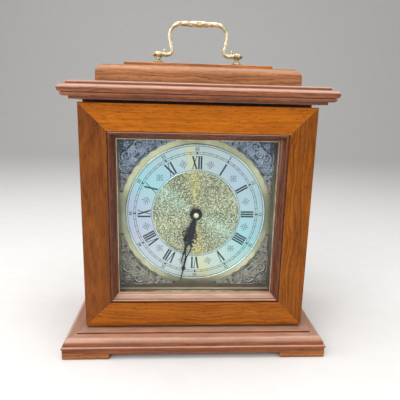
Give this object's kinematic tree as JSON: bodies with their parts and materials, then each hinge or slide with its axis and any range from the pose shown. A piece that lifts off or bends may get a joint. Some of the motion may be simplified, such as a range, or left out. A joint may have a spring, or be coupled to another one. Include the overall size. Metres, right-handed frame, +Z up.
{
  "type": "bracket clock",
  "caption": "Square wooden bracket clock with glazed front door, brass dial, stepped top, bail handle and rear access door.",
  "frame": {"origin": "on the surface that the clock stands on, under the middle of the base", "axes": "+Z up; +X to the right seen from the front; +Y from the front to the back, so the dial faces -Y"},
  "size_m": [0.2706, 0.16, 0.3407],
  "materials": {
    "stained_wood": "red-brown stained hardwood, satin lacquer",
    "carcass_wood": "stained board, plain",
    "antique_brass": "cast, antiqued and worn",
    "hinge_brass": "plain drawn brass",
    "dial_brass": "brushed, pale",
    "silvered_metal": "silvered, satin, printed in black",
    "matted_brass": "matted with fine punch marks",
    "spandrel_brass": "cast, antiqued dark in the ground",
    "blued_black": "blue-black, satin",
    "clear_glass": "clear, plain",
    "movement_plastic": "moulded, black",
    "washer_rubber": "black sheet rubber",
    "cell_jacket": "plain sleeve",
    "zinc_steel": "zinc plated"
  },
  "bodies": {
    "case": {"feet_front": "stained_wood", "feet_back": "stained_wood", "base_moulding_front": "stained_wood", "base_moulding_left": "stained_wood", "base_moulding_right": "stained_wood", "base_board": "carcass_wood", "base_back_rail": "carcass_wood", "side_panel_left": "stained_wood", "side_panel_right": "stained_wood", "front_rail_bottom": "stained_wood", "front_rail_top": "stained_wood", "front_stile_left": "stained_wood", "front_stile_right": "stained_wood", "back_rail_top": "carcass_wood", "top_board": "carcass_wood", "cornice_front": "stained_wood", "cornice_left": "stained_wood", "cornice_right": "stained_wood", "round_tier": "stained_wood", "top_plinth": "stained_wood", "glue_blocks": "carcass_wood", "fixed_hinge_leaves": "hinge_brass", "hinge_pins": "hinge_brass", "catch_magnets": "zinc_steel", "dial_plate": "dial_brass", "chapter_ring": "silvered_metal", "dial_centre": "matted_brass", "spandrel_top_left": "spandrel_brass", "spandrel_top_right": "spandrel_brass", "spandrel_bottom_left": "spandrel_brass", "spandrel_bottom_right": "spandrel_brass", "dial_clips": "zinc_steel", "movement_case": "movement_plastic", "power_cell": "cell_jacket", "bush_nut": "hinge_brass", "rubber_washer": "washer_rubber", "handle_rosettes": "antique_brass", "handle_posts": "antique_brass", "handle_nuts": "zinc_steel"},
    "front_door": {"door_rail_bottom": "stained_wood", "door_rail_top": "stained_wood", "door_stile_left": "stained_wood", "door_stile_right": "stained_wood", "door_lip": "stained_wood", "door_glass": "clear_glass", "glass_beads": "stained_wood", "door_hinge_leaves": "hinge_brass", "door_strike": "zinc_steel"},
    "rear_door": {"back_door": "carcass_wood", "back_door_hinge_leaves": "hinge_brass", "back_door_knob": "antique_brass", "back_door_strike": "zinc_steel"},
    "carrying_handle": {"bail": "antique_brass", "bail_acorns": "antique_brass"},
    "minute_train": {"minute_hand": "blued_black", "minute_arbor": "hinge_brass", "hand_nut": "hinge_brass"},
    "hour_train": {"hour_hand": "blued_black"},
    "setting_train": {"setting_knob": "movement_plastic"}
  },
  "joints": [
    {"name": "front_door_hinge", "type": "hinge", "parent": "case", "child": "front_door", "pos_m": [0.11695, -0.0364, 0.1399], "axis": [0, 0, 1], "range_deg": [0, 170]},
    {"name": "back_door_hinge", "type": "hinge", "parent": "case", "child": "rear_door", "pos_m": [-0.1016, 0.07695, 0.13378], "axis": [0, 0, 1], "range_deg": [0, 170]},
    {"name": "bail_swing", "type": "hinge", "parent": "case", "child": "carrying_handle", "pos_m": [0, 0.00765, 0.3059], "axis": [1, 0, 0], "range_deg": [-100, 100]},
    {"name": "minute_hand_turn", "type": "hinge", "parent": "case", "child": "minute_train", "pos_m": [0, -0.0337, 0.1399], "axis": [0, 1, 0], "continuous": true},
    {"name": "hour_hand_turn", "type": "hinge", "parent": "case", "child": "hour_train", "pos_m": [0, -0.0312, 0.1399], "axis": [0, 1, 0], "continuous": true},
    {"name": "setting_knob_turn", "type": "hinge", "parent": "case", "child": "setting_train", "pos_m": [-0.011, -0.0076, 0.1479], "axis": [0, 1, 0], "continuous": true}
  ],
  "couplings": [
    {"joint": "hour_hand_turn", "follows": "minute_hand_turn", "ratio": 0.083333},
    {"joint": "setting_knob_turn", "follows": "minute_hand_turn", "ratio": 1}
  ]
}
